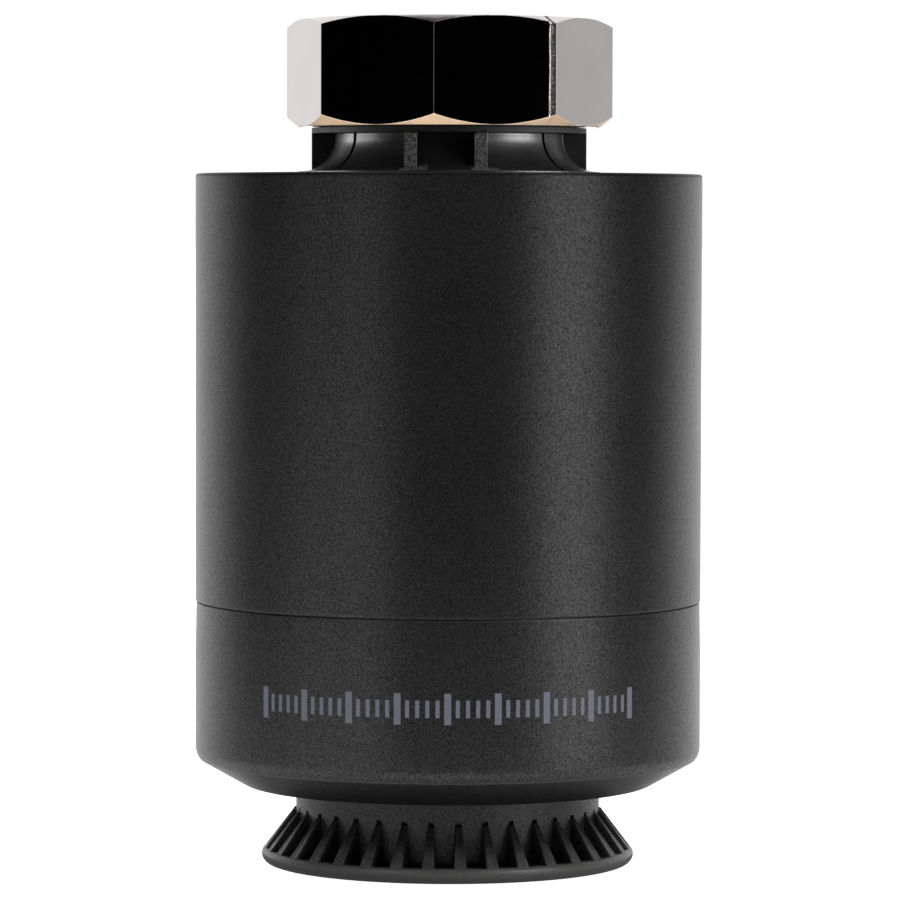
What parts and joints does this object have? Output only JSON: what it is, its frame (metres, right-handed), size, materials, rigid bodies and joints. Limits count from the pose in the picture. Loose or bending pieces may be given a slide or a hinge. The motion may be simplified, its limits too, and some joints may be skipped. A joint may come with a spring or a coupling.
{
  "type": "motorised actuator head",
  "caption": "Cylindrical motorised valve head with an octagonal union nut on a ribbed collar, a long sleeve over cells, motor and gear train, and a ribbed turning dial with a push window.",
  "frame": {"origin": "centre of the dial rim's flat resting plane", "axes": "+Z along the head's axis from the dial to the union nut; -Y is the printed front"},
  "size_m": [0.057, 0.057, 0.0949],
  "materials": {
    "nut_nickel": "nickel-plated, satin machined",
    "collar_black": "glossy glass-filled black",
    "body_black": "satin black paint on moulded plastic",
    "dial_black": "fine-textured black",
    "seal_black": "matt",
    "print_grey": "pad print",
    "window_smoke": "smoked acrylic",
    "frame_white": "moulded",
    "chassis_grey": "moulded",
    "steel": "bright",
    "spring_steel": "spring temper",
    "zinc_screw": "zinc-plated",
    "gear_white": "moulded acetal",
    "gear_black": "moulded acetal",
    "brass": "machined",
    "washer_white": "moulded, slippery",
    "motor_steel": "nickel-plated can",
    "cap_white": "moulded",
    "cell_jacket": "plain shrink jacket",
    "nickel_strip": "nickel-plated",
    "board_green": "solder mask",
    "chip_black": "moulded",
    "shield_can": "tinned",
    "cap_sleeve": "shrink sleeve",
    "sensor_black": "epoxy bead",
    "lead_red": "wire insulation",
    "display_glass": "display glass"
  },
  "bodies": {
    "housing": {"mounting_collar": "collar_black", "front_shell": "body_black", "seam_gasket": "seal_black", "graduation_marks": "print_grey", "chassis": "chassis_grey", "display_carrier": "chip_black", "slip_washer": "washer_white", "encoder": "chip_black", "chassis_screws": "zinc_screw", "sleeve_clips": "spring_steel", "collar_screws": "zinc_screw", "nut_snap_ring": "spring_steel", "axle_pin_a": "steel", "axle_pin_b": "steel", "thrust_pin": "steel", "gearbox_base": "chassis_grey", "gearbox_cover": "chassis_grey", "gearbox_screws": "zinc_screw", "motor_can": "motor_steel", "motor_end_cap": "cap_white", "motor_screws": "zinc_screw", "motor_leads": "lead_red", "battery_cell_left": "cell_jacket", "battery_cell_right": "cell_jacket", "contact_plate_left": "nickel_strip", "contact_plate_right": "nickel_strip", "contact_link": "nickel_strip", "battery_spring_left": "spring_steel", "battery_spring_right": "spring_steel", "battery_leads": "lead_red", "main_board": "board_green", "radio_module": "shield_can", "controller_chip": "chip_black", "capacitor": "cap_sleeve", "temperature_sensor": "sensor_black", "carrier_screws": "zinc_screw", "display_board": "board_green", "display_module": "display_glass", "push_switch": "chip_black", "header_pins": "brass"},
    "union_nut": {"union_nut": "nut_nickel"},
    "outer_sleeve": {"outer_sleeve": "body_black"},
    "dial": {"dial": "dial_black", "dial_gear_ring": "gear_black"},
    "encoder_gear": {"encoder_gear": "gear_white"},
    "boost_button": {"display_window": "window_smoke", "window_frame": "frame_white", "button_spring": "spring_steel"},
    "drive_gear": {"drive_gear": "gear_white"},
    "plunger": {"plunger": "gear_black", "plunger_tip": "steel"},
    "gear_b": {"gear_b": "gear_white"},
    "gear_a": {"gear_a": "gear_white"},
    "motor_rotor": {"motor_pinion": "brass", "motor_shaft": "steel"}
  },
  "joints": [
    {"name": "union_nut_turn", "type": "hinge", "parent": "housing", "child": "union_nut", "pos_m": [0, 0, 0.0889], "axis": [0, 0, 1], "continuous": true},
    {"name": "sleeve_removal", "type": "slide", "parent": "housing", "child": "outer_sleeve", "axis": [0, 0, 1], "range_m": [0, 0.068]},
    {"name": "dial_turn", "type": "hinge", "parent": "housing", "child": "dial", "pos_m": [0, 0, 0.006], "axis": [0, 0, 1], "continuous": true},
    {"name": "encoder_turn", "type": "hinge", "parent": "housing", "child": "encoder_gear", "pos_m": [0.0105, -0.01819, 0], "axis": [0, 0, 1], "continuous": true},
    {"name": "boost_press", "type": "slide", "parent": "housing", "child": "boost_button", "axis": [0, 0, 1], "range_m": [0, 0.0005], "stiffness_N_per_m": 800, "springref_m": -0.0025, "deforming": ["button_spring"]},
    {"name": "drive_turn", "type": "hinge", "parent": "housing", "child": "drive_gear", "pos_m": [0, 0, 0.058], "axis": [0, 0, 1], "range_deg": [0, 1085]},
    {"name": "plunger_travel", "type": "slide", "parent": "housing", "child": "plunger", "axis": [0, 0, 1], "range_m": [0, 0.0045]},
    {"name": "gear_b_turn", "type": "hinge", "parent": "housing", "child": "gear_b", "pos_m": [-0.01126, -0.0065, 0], "axis": [0, 0, 1], "range_deg": [-3610, 0]},
    {"name": "gear_a_turn", "type": "hinge", "parent": "housing", "child": "gear_a", "pos_m": [-0.00143, -0.01338, 0], "axis": [0, 0, 1], "range_deg": [0, 10820]},
    {"name": "motor_turn", "type": "hinge", "parent": "housing", "child": "motor_rotor", "pos_m": [0.01039, -0.0113, 0], "axis": [0, 0, 1], "range_deg": [-32430, 0]}
  ],
  "couplings": [
    {"joint": "encoder_turn", "follows": "dial_turn", "ratio": -5},
    {"joint": "drive_turn", "follows": "plunger_travel", "rad_per_m": 4188.8},
    {"joint": "gear_b_turn", "follows": "plunger_travel", "rad_per_m": -13963},
    {"joint": "gear_a_turn", "follows": "plunger_travel", "rad_per_m": 41888},
    {"joint": "motor_turn", "follows": "plunger_travel", "rad_per_m": -125660}
  ]
}
